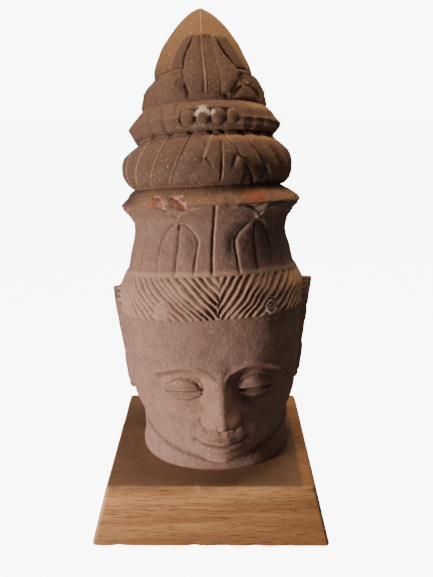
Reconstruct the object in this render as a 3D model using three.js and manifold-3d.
// A carved sandstone head in a tall tiered crown, standing on a tapered block of wood.
// Millimetres, +Z up. The face looks along -Y, and the origin is the centre of the block's underside.
import * as THREE from 'three';
import { mergeVertices } from 'three/addons/utils/BufferGeometryUtils.js';
import Module from 'manifold-3d';

const wasm = await Module();
wasm.setup();

// The wooden stand: a square block whose four sides slope in towards the top.
const STAND_TOP_WIDTH = 155;
const STAND_SPLAY = 10.5; // how much further out each side stands at the foot
const STAND_HEIGHT = 44;
const STAND_CORNER_RADIUS = 2.6;
const STAND_EASED_EDGE = 1.2; // the arris taken off round the top and the foot
const CORNER_STEPS = 3;

// The stone head. Its carving is set out in parts, a hundred to the length from sawn neck to crown tip.
const HEAD_LENGTH = 341; // along the head's own axis, which bends
const PART = HEAD_LENGTH / 100;
const DEGREE = Math.PI / 180;
const HEAD_TURN = 4.5 * DEGREE; // the face looks a little to its left
const NECK_SHIFT = 1; // parts from the stand's middle to the neck's, which brings the crown back over it

// The axis leans towards the head's right side, and back into the crown. Knots are [part, degrees].
const SIDE_LEANS = [[0, 0], [10, 1.9], [60, 1.9], [80, 1.6]];
const BACK_LEANS = [[16, 0], [34, 6.6], [42, 8], [57, 8.2], [62, 10.6], [71, 12.2], [100, 12.5]];

// No moulding was cut quite over the one below it. Knots are [part, parts towards the head's left].
const DRIFTS = [
  [34, 0],
  [42, 0.3],
  [50, 0.45],
  [57.5, 0.95],
  [60.6, 0.3],
  [70, 0.2],
  [82, 0.35],
  [90, 0.15],
  [100, 0.3],
];

// Heights along the axis, in parts.
const NAPE = 13; // the hair's lower edge behind the ears
const HAIRLINE = 34.3; // and over the face
const COLLAR_FOOT = 43.4;
const PETAL_NOTCH = 53.9; // where two petals meet
const COLLAR_LIP = 57.4;
const CUSHION_FOOT = 60.6;
const CUSHION_TOP = 70.5;
const BAND_RIDGE = 73.8;
const BAND_TOP = 77.8;
const SHOULDER_TOP = 84.8;
const LEAF_TOP = 90.6; // of the leaf on the finial's front
const TIP = 100;

// Radii, in parts.
const NECK_RADIUS = 17.1;
const HEAD_BACK_DEPTH = 20.2;
const HAIR_RADIUS = 21.3;
const HAIR_STEP = 0.45; // how proud the hair stands at the hairline
const COLLAR_FOOT_RADIUS = 18.9;
const COLLAR_WAIST_RADIUS = 16.85;
const COLLAR_LIP_RADIUS = 20.3;
const CUSHION_RADIUS = 19.2;
const CUSHION_NECK_RADIUS = 15.6;
const BAND_RADIUS = 17.1;
const SHOULDER_RADIUS = 13.9;
const FINIAL_RADIUS = 11.0;
const TIP_RADIUS = 0.9;
const LEDGE_BULGE = 0.5; // how full the slope above the collar's lip is

// The face, in parts. Thirds set its places: hairline to brow, brow to the nose's base, and that to the chin.
const CHIN_BOTTOM = 2.8;
const FACE_THIRD = (HAIRLINE - CHIN_BOTTOM) / 3;
const BROW_UP = HAIRLINE - FACE_THIRD;
const BROW_ARCH = 2.3;
const EYE_ACROSS = 7.9;
const EYE_UP = BROW_UP - 2.8;
const NOSE_ROOT = EYE_UP + 1.9;
const NOSE_BASE = CHIN_BOTTOM + FACE_THIRD;
const NOSE_TIP = NOSE_BASE + 1.7;
const NOSE_REACH = 4.3;
const MOUTH_UP = NOSE_BASE - FACE_THIRD / 3;
const MOUTH_HALF_WIDTH = 5.9;
const CHIN_UP = CHIN_BOTTOM + 3.1;
const JAW_RISE = 8; // from the chin's lower border to the jaw's below the ear

// The long ears, in parts.
const EAR_TOP = 38.7;
const EAR_BOTTOM = 13.6;
const EAR_WIDTH = 6.4;
const EAR_THICKNESS = 4;
const EAR_OUT_AT_TOP = 22.3; // from the axis to the ear's outer face
const LEFT_EAR_OUT_AT_TOP = 23.4; // the head's left ear stands a little further out
const EAR_OUT_AT_BOTTOM = 19.9;

// The beads on the crown's band, in parts.
const BEADS = 4;
const BEAD_RADIUS = 1.5;
const BEAD_SPACING = 10.6 * DEGREE;

// How often each carving repeats, and how it is set round the head.
const PETALS = 7;
const PETAL_WIDENING = 3.9 * DEGREE; // warps the petals' spacing, so that the front one is widest
const PETAL_STEM = 13 * DEGREE; // from a petal's middle to its edge, below the notch
const CUSHION_RIBS = 22;
const RIBS_MIDDLE = 5.5 * DEGREE; // the ribs sweep away from this angle
const RIBS_START = 5.3 * DEGREE; // from there to the first groove at the cushion's top
const RIBS_SWEEP = 17.5 * DEGREE; // how much further off that groove is at the cushion's foot
const LOBE_GAPS = [17.1, 63.6, 110.2, 156.7]; // degrees to each side, between the shoulder's lobes

// How the surface is laid out: columns round the head, gathered towards the face.
const COLUMNS = 66;
const AXIS_STEPS = 400;
const FACE_GATHER = 0.62;

const clamp01 = (v) => Math.min(1, Math.max(0, v));
const mix = (a, b, t) => a + (b - a) * t;
const bell = (v, width) => Math.exp(-0.5 * (v / width) ** 2);

function smooth(from, to, v) {
  const t = clamp01((v - from) / (to - from));
  return t * t * (3 - 2 * t);
}

// A smooth curve through knots [place, value], level at its two ends.
function curveThrough(knots) {
  const slopes = knots.map(([place], i) => {
    if (i === 0 || i === knots.length - 1) return 0;
    const [before, valueBefore] = knots[i - 1];
    const [after, valueAfter] = knots[i + 1];
    const left = (knots[i][1] - valueBefore) / (place - before);
    const right = (valueAfter - knots[i][1]) / (after - place);
    return left * right <= 0 ? 0 : (2 * left * right) / (left + right);
  });
  return (s) => {
    if (s <= knots[0][0]) return knots[0][1];
    const i = knots.findIndex(([place]) => place >= s);
    if (i < 0) return knots[knots.length - 1][1];
    const [a, valueA] = knots[i - 1];
    const [b, valueB] = knots[i];
    const w = b - a;
    const t = (s - a) / w;
    const start = (1 + 2 * t) * (1 - t) ** 2 * valueA + t * (1 - t) ** 2 * w * slopes[i - 1];
    const end = t * t * (3 - 2 * t) * valueB + t * t * (t - 1) * w * slopes[i];
    return start + end;
  };
}

// The head below the crown: half its width, its depth before the axis, and how square its front is.
const headHalfWidth = curveThrough([[2, 16.6], [6, 17.2], [10, 18], [16, 19.1], [26, 19.8], [34, 20.1]]);
const headFrontDepth = curveThrough([
  [2, 20.6],
  [5, 21.1],
  [10, 20.6],
  [16, 19.9],
  [24, 19.3],
  [28, 20],
  [34, 19.8],
]);
const faceSquareness = curveThrough([[4, 1.62], [12, 1.78], [20, 2.05], [30, 2.35], [35, 2.35], [43, 2]]);

// The radius of a squared oval in the direction theta.
function oval(theta, halfWidth, depth, squareness) {
  const across = Math.abs(Math.sin(theta) / halfWidth) ** squareness;
  const along = Math.abs(Math.cos(theta) / depth) ** squareness;
  return (across + along) ** (-1 / squareness);
}

// The jaw: the face's lower border, low at the chin and rising towards the ears.
function jawRounding(theta, s) {
  const away = 1 - Math.cos(theta);
  const border = CHIN_BOTTOM + JAW_RISE * away ** 0.9;
  const t = clamp01((s - border) / mix(4.4, 6.4, clamp01(away)));
  return Math.sqrt(1 - (1 - t) ** 2);
}

// The larger of two values, with the corner between them filled over a width.
function blendedMax(a, b, width) {
  const t = clamp01(0.5 + (0.5 * (a - b)) / width);
  return mix(b, a, t) + width * t * (1 - t);
}

function lowerHeadRadius(theta, s) {
  const facing = Math.cos(theta) > 0;
  const depth = facing ? headFrontDepth(s) : HEAD_BACK_DEPTH;
  const squareness = facing ? faceSquareness(s) : 2;
  const neck = NECK_RADIUS + 0.35 * (1 - smooth(0, 4, s));
  const head = oval(theta, headHalfWidth(s), depth, squareness) * jawRounding(theta, s);
  return blendedMax(neck, head, 0.7);
}

// The hair's lower edge: level over the face, and down to the nape behind the ears.
const hairEdge = (theta) => mix(HAIRLINE, NAPE, smooth(88, 99, Math.abs(theta) / DEGREE));

function hairRadius(theta, s) {
  const edge = lowerHeadRadius(theta, Math.min(s, HAIRLINE)) + HAIR_STEP;
  const swell = mix(edge, HAIR_RADIUS, smooth(HAIRLINE, HAIRLINE + 4.5, s));
  return mix(swell, COLLAR_FOOT_RADIUS, smooth(HAIRLINE + 4.5, COLLAR_FOOT, s));
}

// The crown's profile, moulding by moulding.
const collarRadius = curveThrough([
  [COLLAR_FOOT, COLLAR_FOOT_RADIUS],
  [47, 17.9],
  [51.4, COLLAR_WAIST_RADIUS],
  [54.3, 17.6],
  [COLLAR_LIP, COLLAR_LIP_RADIUS],
]);
const finialRadius = curveThrough([
  [SHOULDER_TOP, FINIAL_RADIUS],
  [90.4, 9.2],
  [94.3, 6.8],
  [97.2, 4.4],
  [99.4, 1.9],
  [TIP, TIP_RADIUS],
]);

function cushionRadius(s) {
  const middle = mix(CUSHION_FOOT, CUSHION_TOP, 0.47);
  const t = s < middle ? (middle - s) / (middle - CUSHION_FOOT) : (s - middle) / (CUSHION_TOP - middle);
  const fullness = s < middle ? 2.1 : 1.7;
  return mix(CUSHION_NECK_RADIUS, CUSHION_RADIUS, Math.sqrt(Math.max(0, 1 - t ** fullness)));
}

function crownRadius(s) {
  if (s <= COLLAR_LIP) return collarRadius(s);
  if (s < CUSHION_FOOT) {
    const t = (s - COLLAR_LIP) / (CUSHION_FOOT - COLLAR_LIP);
    return mix(COLLAR_LIP_RADIUS, CUSHION_NECK_RADIUS + 1.2, t) + LEDGE_BULGE * Math.sin(t * Math.PI);
  }
  if (s < CUSHION_TOP) return cushionRadius(s);
  if (s < BAND_RIDGE) {
    return mix(CUSHION_NECK_RADIUS, BAND_RADIUS, (s - CUSHION_TOP) / (BAND_RIDGE - CUSHION_TOP));
  }
  if (s < BAND_TOP) {
    return mix(BAND_RADIUS, SHOULDER_RADIUS - 0.2, (s - BAND_RIDGE) / (BAND_TOP - BAND_RIDGE));
  }
  if (s < SHOULDER_TOP) {
    const t = (s - BAND_TOP) / (SHOULDER_TOP - BAND_TOP);
    return mix(FINIAL_RADIUS - 0.3, SHOULDER_RADIUS, Math.sqrt(1 - t ** 1.45));
  }
  return finialRadius(s);
}

// Face relief, in parts forward of the plain head, at x across and z up.

function browLine(x) {
  return BROW_UP - 0.9 + BROW_ARCH * Math.sin(Math.PI * clamp01((Math.abs(x) - 1.2) / 13.6));
}

function eyeRelief(x, z) {
  const across = Math.abs(x);
  const hollow =
    smooth(0, 1.8, browLine(x) - z) *
    smooth(EYE_UP - 5.4, EYE_UP - 1.6, z) *
    smooth(0.7, 3, across) *
    (1 - smooth(11.5, 16.5, across));
  const ball = clamp01(1 - ((across - EYE_ACROSS) / 4.5) ** 2 - ((z - EYE_UP + 0.1) / 2.75) ** 2);
  return -1.5 * hollow + 1.65 * ball ** 0.62;
}

function noseRelief(x, z) {
  const across = Math.abs(x);
  const reach = mix(NOSE_REACH, 1, clamp01((z - NOSE_TIP) / (NOSE_ROOT - NOSE_TIP)));
  const halfWidth = mix(2.2, 1.6, smooth(NOSE_TIP, NOSE_TIP + 3, z));
  const underside = smooth(NOSE_BASE - 0.5, NOSE_TIP - 0.2, z);
  const below = 1 - smooth(NOSE_ROOT, NOSE_ROOT + 3.4, z);
  const ridge = reach * Math.exp(-((across / halfWidth) ** 2.8)) * underside * below;
  const sides = 1.15 * bell(x, 3) * smooth(NOSE_BASE, NOSE_TIP, z) * (1 - smooth(NOSE_ROOT - 5, NOSE_ROOT, z));
  const wing = 1.8 * bell(across - 2.7, 0.8) * bell(z - NOSE_BASE - 1.25, 0.9);
  return ridge + sides + wing;
}

function mouthRelief(x, z) {
  const share = clamp01(1 - (x / MOUTH_HALF_WIDTH) ** 2);
  const muzzle = 1.5 * bell(x, 5.2) * bell(z - MOUTH_UP, 3.3);
  const upper = 0.8 * share * bell(z - MOUTH_UP - 0.7, 0.5);
  const lower = 1.1 * share * bell(z - MOUTH_UP + 0.9, 0.6);
  const crease = 0.8 * bell(x, 3.8) * bell(z - MOUTH_UP + 3, 0.75);
  return muzzle + upper + lower - crease;
}

function faceRelief(x, z) {
  const chin = 1.2 * bell(x, 3.2) * bell(z - CHIN_UP, 1.9);
  const cheeks = 0.95 * bell(Math.abs(x) - 10, 3.8) * bell(z - NOSE_BASE - 3, 3.9);
  return eyeRelief(x, z) + noseRelief(x, z) + mouthRelief(x, z) + chin + cheeks;
}

// Crown and hair relief, in parts outwards.

function angleFromNearest(angle, count) {
  const period = (2 * Math.PI) / count;
  return angle - period * Math.round(angle / period);
}

// 1 well inside a moulding, falling to 0 over the margin at its foot and its top.
function within(foot, top, margin, s) {
  return smooth(foot, foot + margin, s) * (1 - smooth(top - margin, top, s));
}

function hairRelief(column) {
  return column % 2 ? 0.32 : -0.32;
}

// Half a petal's width, in degrees: a stem between its neighbours' leaves, and a tip that arches to the lip.
const petalHalfAngle = curveThrough([
  [COLLAR_FOOT, 13.3],
  [50.2, 12.1],
  [52.4, 16],
  [PETAL_NOTCH, 27.6],
  [56.2, 20],
  [COLLAR_LIP, 4],
]);

// A ring of lotus petals with a groove up each middle, and a pair of narrow leaves between two stems.
function petalRelief(theta, s) {
  const across = Math.abs(angleFromNearest(theta - PETAL_WIDENING * Math.sin(theta), PETALS)) / DEGREE;
  const edge = petalHalfAngle(s);
  const period = 180 / PETALS;
  const fade = smooth(COLLAR_FOOT, COLLAR_FOOT + 0.8, s) * (1 - smooth(COLLAR_LIP - 0.7, COLLAR_LIP - 0.1, s));
  const stem = s < PETAL_NOTCH ? 1 : 0;
  const petal = 0.7 * (1 - smooth(edge - 1.6, edge + 1.6, across));
  const leaf = 0.4 * stem * Math.sin(Math.PI * clamp01((across - edge) / Math.max(period - edge, 1)));
  const grooves = 0.6 * bell(across, 1.6) + 0.45 * stem * bell(period - across, 1.6);
  return fade * (petal + leaf - grooves - 0.5);
}

// The share is 0 and 1 at the grooves beside a rib, or at the gaps beside a lobe.
const ribRelief = (share) => -0.9 * (1 - Math.sin(Math.PI * share) ** 0.6);
const lobeRelief = (share) => Math.sqrt(1 - Math.abs(2 * share - 1) ** 2.4) - 0.8;

// The leaf that stands on the finial's front. Knots are [part, degrees from its middle to its edge].
const leafHalfAngle = curveThrough([[77, 24], [81, 26], [83.6, 34], [84.6, 43], [88, 38], [LEAF_TOP, 31]]);
const leafHeartHalfAngle = curveThrough([
  [77, 20],
  [81.5, 22.5],
  [84, 26],
  [86, 26.5],
  [88.5, 20],
  [LEAF_TOP, 10],
]);

// The leaf with its fluted heart, and the ridge above it.
function frontLeafRelief(theta, s) {
  const across = Math.abs(theta) / DEGREE;
  const inside = smooth(BAND_TOP + 0.9, BAND_TOP + 1.7, s) * (s < LEAF_TOP ? 1 : 0);
  const heartEdge = leafHeartHalfAngle(s);
  const heart = 1 - smooth(heartEdge - 2.5, heartEdge + 1.5, across);
  const flute = 0.6 * Math.sin(Math.PI * clamp01((across - 4) / (heartEdge - 4)));
  const lift = mix(1, 0.25, smooth(SHOULDER_TOP - 5, SHOULDER_TOP + 1, s));
  const edge = leafHalfAngle(s);
  const clear = smooth(SHOULDER_TOP - 1.2, SHOULDER_TOP - 0.4, s);
  const border = 0.5 * clear * (1 - smooth(edge - 3, edge + 3, across));
  const ridge = 0.3 * bell(across, 4) * smooth(SHOULDER_TOP, LEAF_TOP, s) * (1 - smooth(TIP - 2.5, TIP, s));
  return inside * Math.max(heart * (lift + flute), border) + ridge;
}

function crownRelief(theta, share, s) {
  if (s < COLLAR_LIP) return petalRelief(theta, s);
  if (s > CUSHION_FOOT && s < CUSHION_TOP) return ribRelief(share) * within(CUSHION_FOOT, CUSHION_TOP, 0.5, s);
  if (s < BAND_TOP) return 0;
  return lobeRelief(share) * within(BAND_TOP, SHOULDER_TOP, 0.8, s) + frontLeafRelief(theta, s);
}

// The columns of a row. Each has its angle round the head, and how far it is from one stop to the next.

const evenAngle = (column) => ((column / COLUMNS) * 2 - 1) * Math.PI;
const nearestColumn = (angle) => Math.round(((angle / Math.PI + 1) / 2) * COLUMNS);

// Stops are [column, angle], round the head. The columns between two stops share out the angle there.
function columnsThrough(stops) {
  const sorted = stops.toSorted(([a], [b]) => a - b);
  const [firstColumn, firstAngle] = sorted[0];
  sorted.push([firstColumn + COLUMNS, firstAngle + 2 * Math.PI]);
  return Array.from({ length: COLUMNS }, (_, column) => {
    const wrapped = column < firstColumn ? column + COLUMNS : column;
    const i = sorted.findLastIndex(([stop]) => stop <= wrapped);
    const [from, angle] = sorted[Math.min(i, sorted.length - 2)];
    const [to, nextAngle] = sorted[Math.min(i, sorted.length - 2) + 1];
    const share = (wrapped - from) / (to - from);
    return { theta: mix(angle, nextAngle, share) - (wrapped === column ? 0 : 2 * Math.PI), share };
  });
}

// The columns gather towards the face and spread through the hair.
function headColumns(s) {
  const gather = FACE_GATHER * (1 - smooth(HAIRLINE, COLLAR_FOOT, s));
  return Array.from({ length: COLUMNS }, (_, column) => {
    const u = evenAngle(column);
    return { theta: u - gather * Math.sin(u), share: 0 };
  });
}

// A column runs up the middle and both edges of each petal's stem, and up each notch.
function collarColumns() {
  const stops = [];
  for (let petal = 0; petal < PETALS; petal += 1) {
    const middle = (petal - (PETALS - 1) / 2) * ((2 * Math.PI) / PETALS);
    for (const offset of [-PETAL_STEM, 0, PETAL_STEM, Math.PI / PETALS]) {
      stops.push([nearestColumn(middle + offset), middle + offset]);
    }
  }
  return columnsThrough(stops).map(({ theta, share }) => ({ theta: widened(theta), share }));
}

// The true angle of a place on the evenly spaced petals.
function widened(even) {
  let theta = even;
  for (let i = 0; i < 12; i += 1) theta = even + PETAL_WIDENING * Math.sin(theta);
  return theta;
}

// Each groove of the cushion keeps to one column while it falls away from the front.
function cushionColumns(s) {
  const fall = clamp01((CUSHION_TOP - s) / (CUSHION_TOP - CUSHION_FOOT));
  const stops = [];
  for (let k = 0; k < CUSHION_RIBS / 2; k += 1) {
    const start = RIBS_START + (k * 2 * Math.PI) / CUSHION_RIBS;
    const sweep = RIBS_SWEEP * (1 - (2 * k) / CUSHION_RIBS);
    for (const side of [-1, 1]) {
      const column = nearestColumn(RIBS_MIDDLE + side * (start + sweep / 2));
      stops.push([column, RIBS_MIDDLE + side * (start + sweep * fall ** 1.35)]);
    }
  }
  return columnsThrough(stops);
}

function shoulderColumns() {
  const gaps = [-1, 1].flatMap((side) => LOBE_GAPS.map((gap) => side * gap * DEGREE));
  return columnsThrough(gaps.map((angle) => [nearestColumn(angle), angle]));
}

function columnsAt(s) {
  if (s < COLLAR_FOOT) return headColumns(s);
  if (s < CUSHION_FOOT) return collarColumns();
  if (s < BAND_RIDGE) return cushionColumns(s);
  return shoulderColumns();
}

const sideLeanAt = curveThrough(SIDE_LEANS);
const backLeanAt = curveThrough(BACK_LEANS);
const driftAt = curveThrough(DRIFTS);

function makeAxis() {
  const step = TIP / AXIS_STEPS;
  const points = [new THREE.Vector3(NECK_SHIFT, 0, 0)];
  for (let i = 0; i < AXIS_STEPS; i += 1) {
    const s = (i + 0.5) * step;
    points.push(frameAt(s).up.clone().multiplyScalar(step).add(points[i]));
  }
  return points;
}

function frameAt(s) {
  const side = sideLeanAt(s) * DEGREE;
  const back = backLeanAt(s) * DEGREE;
  const right = new THREE.Vector3(Math.cos(side), 0, Math.sin(side));
  const upright = new THREE.Vector3(-Math.sin(side), 0, Math.cos(side));
  const behind = new THREE.Vector3(0, 1, 0);
  const up = upright.clone().multiplyScalar(Math.cos(back)).addScaledVector(behind, Math.sin(back));
  const front = behind.clone().multiplyScalar(-Math.cos(back)).addScaledVector(upright, Math.sin(back));
  return { right, up, front };
}

const axis = makeAxis();

function axisPoint(s) {
  const place = clamp01(s / TIP) * AXIS_STEPS;
  const i = Math.min(AXIS_STEPS - 1, Math.floor(place));
  const point = axis[i].clone().lerp(axis[i + 1], place - i);
  point.x += driftAt(s);
  return point;
}

function headPoint(s, column, { theta, share }) {
  let radius;
  if (s >= COLLAR_FOOT) radius = crownRadius(s) + crownRelief(theta, share, s);
  else if (s > hairEdge(theta)) radius = hairRadius(theta, s) + hairRelief(column);
  else radius = lowerHeadRadius(theta, s);
  const { right, front } = frameAt(s);
  const across = radius * Math.sin(theta);
  let forward = radius * Math.cos(theta);
  if (s <= HAIRLINE) forward += faceRelief(across, s) * smooth(0.05, 0.4, Math.cos(theta));
  return axisPoint(s).addScaledVector(right, across).addScaledVector(front, forward);
}

// Rows are closest where the carving is finest. Each stretch is [from, to, steps].
function headRows() {
  const stretches = [
    [0, CHIN_BOTTOM, 2],
    [CHIN_BOTTOM, CHIN_UP, 2],
    [CHIN_UP, MOUTH_UP - 0.9, 3],
    [MOUTH_UP - 0.9, MOUTH_UP + 0.7, 3],
    [MOUTH_UP + 0.7, NOSE_BASE, 2],
    [NOSE_BASE, NOSE_TIP, 3],
    [NOSE_TIP, EYE_UP - 2.6, 2],
    [EYE_UP - 2.6, BROW_UP + 1.4, 6],
    [BROW_UP + 2, HAIRLINE, 1],
    [HAIRLINE + 0.15, COLLAR_FOOT - 0.1, 3],
    [COLLAR_FOOT, COLLAR_FOOT + 0.8, 1],
    [46.8, 52, 2],
    [53, PETAL_NOTCH, 1],
    [55.2, COLLAR_LIP - 0.7, 1],
    [COLLAR_LIP, CUSHION_FOOT - 0.1, 2],
    [CUSHION_FOOT + 0.1, CUSHION_FOOT + 0.6, 1],
    [CUSHION_FOOT + 2.2, CUSHION_TOP - 0.6, 4],
    [CUSHION_TOP, BAND_RIDGE, 1],
    [BAND_TOP - 0.1, BAND_TOP + 0.8, 1],
    [BAND_TOP + 2.5, SHOULDER_TOP - 1, 3],
    [SHOULDER_TOP, LEAF_TOP - 0.2, 3],
    [LEAF_TOP, TIP, 5],
  ];
  const rows = [];
  for (const [from, to, count] of stretches) {
    for (let i = 0; i <= count; i += 1) rows.push(mix(from, to, i / count));
  }
  return rows.filter((s, i) => i === 0 || s - rows[i - 1] > 1e-6);
}

// The solid that a closed mesh bounds.
function solidFrom(geometry) {
  geometry.deleteAttribute('normal');
  geometry.deleteAttribute('uv');
  const merged = mergeVertices(geometry, 1e-4);
  return new wasm.Manifold(
    new wasm.Mesh({
      numProp: 3,
      vertProperties: merged.attributes.position.array,
      triVerts: new Uint32Array(merged.index.array),
    }),
  );
}

function geometryFrom(solid) {
  const mesh = solid.getMesh();
  const geometry = new THREE.BufferGeometry();
  geometry.setAttribute('position', new THREE.BufferAttribute(mesh.vertProperties, 3));
  geometry.setIndex(new THREE.BufferAttribute(mesh.triVerts, 1));
  geometry.computeVertexNormals();
  return geometry;
}

// A closed surface through rings of points, with a middle point closing each end.
function loft(rings) {
  const count = rings[0].length;
  const middle = (ring) =>
    ring.reduce((sum, p) => sum.add(p), new THREE.Vector3()).divideScalar(ring.length);
  const points = [...rings.flat(), middle(rings[0]), middle(rings[rings.length - 1])];
  const low = points.length - 2;
  const high = points.length - 1;
  const faces = [];
  for (let i = 0; i < count; i += 1) {
    const next = (i + 1) % count;
    faces.push(low, next, i);
    for (let row = 0; row < rings.length - 1; row += 1) {
      const a = row * count;
      faces.push(a + i, a + next, a + count + next, a + i, a + count + next, a + count + i);
    }
    const top = (rings.length - 1) * count;
    faces.push(high, top + i, top + next);
  }
  const geometry = new THREE.BufferGeometry().setFromPoints(points);
  geometry.setIndex(faces);
  return geometry;
}

function carvedHead() {
  const rings = headRows().map((s) =>
    columnsAt(s).map((place, column) => headPoint(s, column, place).multiplyScalar(PART)),
  );
  return solidFrom(loft(rings));
}

// A long ear lying flat on the side of the head, with its top cut square.
function earSolid(side) {
  const back = EAR_WIDTH * 0.75;
  const outline = new THREE.Shape()
    .moveTo(-EAR_WIDTH * 0.25, EAR_TOP)
    .lineTo(back, EAR_TOP)
    .quadraticCurveTo(back + 0.5, mix(EAR_BOTTOM, EAR_TOP, 0.6), back - 1.2, mix(EAR_BOTTOM, EAR_TOP, 0.35))
    .quadraticCurveTo(back - 0.9, EAR_BOTTOM, 1.2, EAR_BOTTOM)
    .quadraticCurveTo(-0.9, EAR_BOTTOM, -0.9, mix(EAR_BOTTOM, EAR_TOP, 0.3))
    .quadraticCurveTo(-0.6, mix(EAR_BOTTOM, EAR_TOP, 0.55), -EAR_WIDTH * 0.25, EAR_TOP);
  const bevel = 0.5;
  const slab = new THREE.ExtrudeGeometry(outline, {
    depth: EAR_THICKNESS - bevel,
    curveSegments: 4,
    bevelThickness: bevel,
    bevelSize: bevel,
    bevelOffset: -bevel,
    bevelSegments: 1,
  });
  const outAtTop = side > 0 ? LEFT_EAR_OUT_AT_TOP : EAR_OUT_AT_TOP;
  const slope = Math.atan2(outAtTop - EAR_OUT_AT_BOTTOM, EAR_TOP - EAR_BOTTOM);
  // Outline x runs to the back, y runs up, and the slab's thickness runs outwards.
  slab.applyMatrix4(
    new THREE.Matrix4().makeBasis(
      new THREE.Vector3(0, 1, 0),
      new THREE.Vector3(0, 0, 1),
      new THREE.Vector3(1, 0, 0),
    ),
  );
  slab.translate(-EAR_THICKNESS, 0, -EAR_TOP);
  slab.rotateY(slope);
  slab.translate(outAtTop, 0, EAR_TOP);
  if (side < 0) {
    slab.scale(-1, 1, 1);
    reverseTriangles(slab);
  }
  placeOnAxis(slab);
  slab.scale(PART, PART, PART);
  return solidFrom(slab);
}

// Carries each point from its place on an upright axis to the same place on the head's own.
function placeOnAxis(geometry) {
  const { position } = geometry.attributes;
  for (let i = 0; i < position.count; i += 1) {
    const s = position.getZ(i);
    const { right, front } = frameAt(s);
    const point = axisPoint(s);
    point.addScaledVector(right, position.getX(i)).addScaledVector(front, -position.getY(i));
    position.setXYZ(i, point.x, point.y, point.z);
  }
}

// Turns each triangle of an unindexed geometry round, as a mirrored copy needs.
function reverseTriangles(geometry) {
  const { array } = geometry.attributes.position;
  for (let i = 0; i < array.length; i += 9) {
    for (let k = 0; k < 3; k += 1) {
      const kept = array[i + 3 + k];
      array[i + 3 + k] = array[i + 6 + k];
      array[i + 6 + k] = kept;
    }
  }
}

// Four round beads on the front of the band, each sunk into its ridge.
function beadSolid(index) {
  const theta = (index - (BEADS - 1) / 2) * BEAD_SPACING;
  const { right, front } = frameAt(BAND_RIDGE);
  const reach = BAND_RADIUS - BEAD_RADIUS * 0.35;
  const centre = axisPoint(BAND_RIDGE)
    .addScaledVector(right, reach * Math.sin(theta))
    .addScaledVector(front, reach * Math.cos(theta))
    .multiplyScalar(PART);
  const bead = new THREE.SphereGeometry(BEAD_RADIUS * PART, 10, 7);
  bead.translate(centre.x, centre.y, centre.z);
  return solidFrom(bead);
}

function stoneHead() {
  let stone = carvedHead();
  for (const side of [-1, 1]) stone = stone.add(earSolid(side));
  for (let i = 0; i < BEADS; i += 1) stone = stone.add(beadSolid(i));
  const sandstone = new THREE.MeshStandardMaterial({ color: 0x8c6a5c, roughness: 0.93, metalness: 0 });
  const mesh = new THREE.Mesh(geometryFrom(stone), sandstone);
  mesh.name = 'stone_head';
  mesh.rotation.z = HEAD_TURN;
  mesh.position.z = STAND_HEIGHT;
  return mesh;
}

// One level of the stand: a square with rounded corners.
function roundedSquare(width, cornerRadius, z) {
  const half = width / 2 - cornerRadius;
  const ring = [];
  for (let corner = 0; corner < 4; corner += 1) {
    const start = (corner * Math.PI) / 2;
    const x = half * (corner === 0 || corner === 3 ? 1 : -1);
    const y = half * (corner < 2 ? 1 : -1);
    for (let i = 0; i <= CORNER_STEPS; i += 1) {
      const angle = start + (i / CORNER_STEPS) * (Math.PI / 2);
      ring.push(new THREE.Vector3(x + cornerRadius * Math.cos(angle), y + cornerRadius * Math.sin(angle), z));
    }
  }
  return ring;
}

function woodenStand() {
  const widthAt = (z) => STAND_TOP_WIDTH + 2 * STAND_SPLAY * (1 - z / STAND_HEIGHT);
  const high = STAND_HEIGHT - STAND_EASED_EDGE;
  const rings = [
    roundedSquare(widthAt(0) - 2 * STAND_EASED_EDGE, STAND_CORNER_RADIUS, 0),
    roundedSquare(widthAt(STAND_EASED_EDGE), STAND_CORNER_RADIUS, STAND_EASED_EDGE),
    roundedSquare(widthAt(high), STAND_CORNER_RADIUS, high),
    roundedSquare(STAND_TOP_WIDTH - 2 * STAND_EASED_EDGE, STAND_CORNER_RADIUS, STAND_HEIGHT),
  ];
  const walnut = new THREE.MeshStandardMaterial({ color: 0x7a5636, roughness: 0.55, metalness: 0 });
  const mesh = new THREE.Mesh(geometryFrom(solidFrom(loft(rings))), walnut);
  mesh.name = 'wooden_stand';
  return mesh;
}

const group = new THREE.Group();
group.add(woodenStand(), stoneHead());

export default group;
